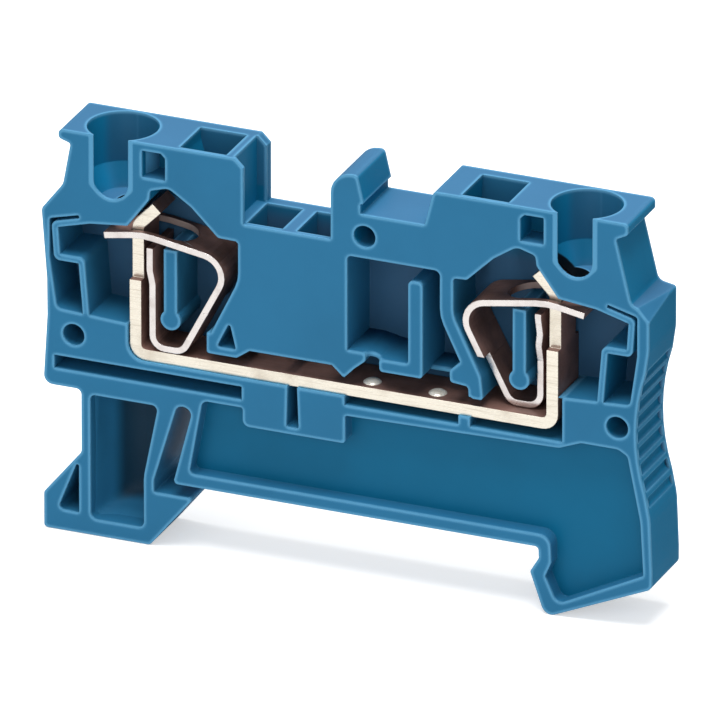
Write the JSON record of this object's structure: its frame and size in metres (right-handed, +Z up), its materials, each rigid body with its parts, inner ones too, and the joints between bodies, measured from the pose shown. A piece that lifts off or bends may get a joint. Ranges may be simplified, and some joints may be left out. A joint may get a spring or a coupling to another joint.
{
  "type": "spring terminal block",
  "caption": "Slim feed-through terminal block for a top-hat rail: moulded body open on one side, bent current bar and cage springs that clamp a wire at each end.",
  "frame": {"origin": "middle of the rail seat, on the plane of the rail's flange tops, halfway through the thickness", "axes": "+X along the block towards the fixed hook, +Y towards the closed back, +Z up from the rail"},
  "size_m": [0.056, 0.0062, 0.0376],
  "materials": {
    "housing_plastic": "satin moulded polyamide",
    "tinned_copper": "bright tin plating with cut edges",
    "spring_steel": "rolled strip with bright edges"
  },
  "bodies": {
    "block": {"housing": "housing_plastic", "current_bar": "tinned_copper"},
    "left_cage": {"cage_spring_left": "spring_steel"},
    "right_cage": {"cage_spring_right": "spring_steel"}
  },
  "joints": [
    {"name": "left_cage_open", "type": "hinge", "parent": "block", "child": "left_cage", "pos_m": [-0.01653, 0, 0.0135], "axis": [0, -1, 0], "range_deg": [0, 13], "stiffness_Nm_per_rad": 1, "deforming": ["cage_spring_left"]},
    {"name": "right_cage_open", "type": "hinge", "parent": "block", "child": "right_cage", "pos_m": [0.01582, 0, 0.0135], "axis": [0, 1, 0], "range_deg": [0, 13], "stiffness_Nm_per_rad": 1, "deforming": ["cage_spring_right"]}
  ]
}
